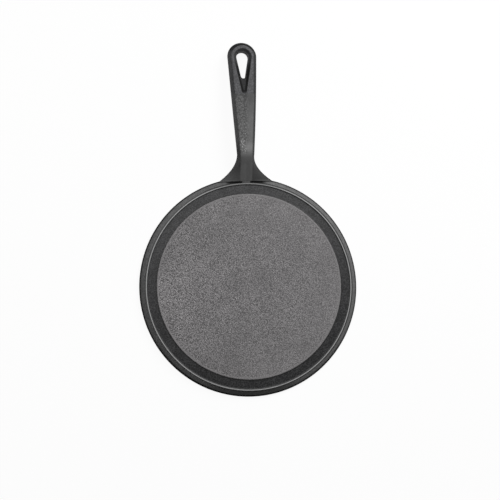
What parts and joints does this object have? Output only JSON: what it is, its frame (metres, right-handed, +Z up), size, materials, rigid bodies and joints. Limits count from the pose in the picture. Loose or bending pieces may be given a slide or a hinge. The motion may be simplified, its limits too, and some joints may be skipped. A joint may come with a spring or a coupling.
{
  "type": "comal",
  "caption": "Round flat cast-iron griddle with a smooth border, a fine rim bead, a falling outer skirt and one long arched handle that ends in a teardrop hanging eye.",
  "frame": {"origin": "centre of the resting plane of the foot ring under the pan, where it stands on a table or burner", "axes": "+Z up out of the cooking face, +Y along the handle to its hanging eye, +X to the right when the handle points away"},
  "size_m": [0.267, 0.4336, 0.0235],
  "materials": {
    "pebbled_iron": "pebbled as-cast grey iron, lightly oiled",
    "smooth_iron": "smooth dark seasoned iron, satin",
    "bead_iron": "worn as-cast iron edge",
    "skirt_iron": "fine as-cast iron, satin",
    "root_iron": "fine as-cast iron, satin",
    "handle_iron": "pebbled as-cast grey iron, lightly oiled",
    "eye_iron": "fine smooth as-cast iron, satin"
  },
  "bodies": {
    "root": {"cooking_plate": "pebbled_iron", "smooth_border": "smooth_iron", "rim_bead": "bead_iron", "outer_skirt": "skirt_iron", "handle_root": "root_iron", "handle_shank": "handle_iron", "hanging_eye": "eye_iron"}
  },
  "joints": []
}
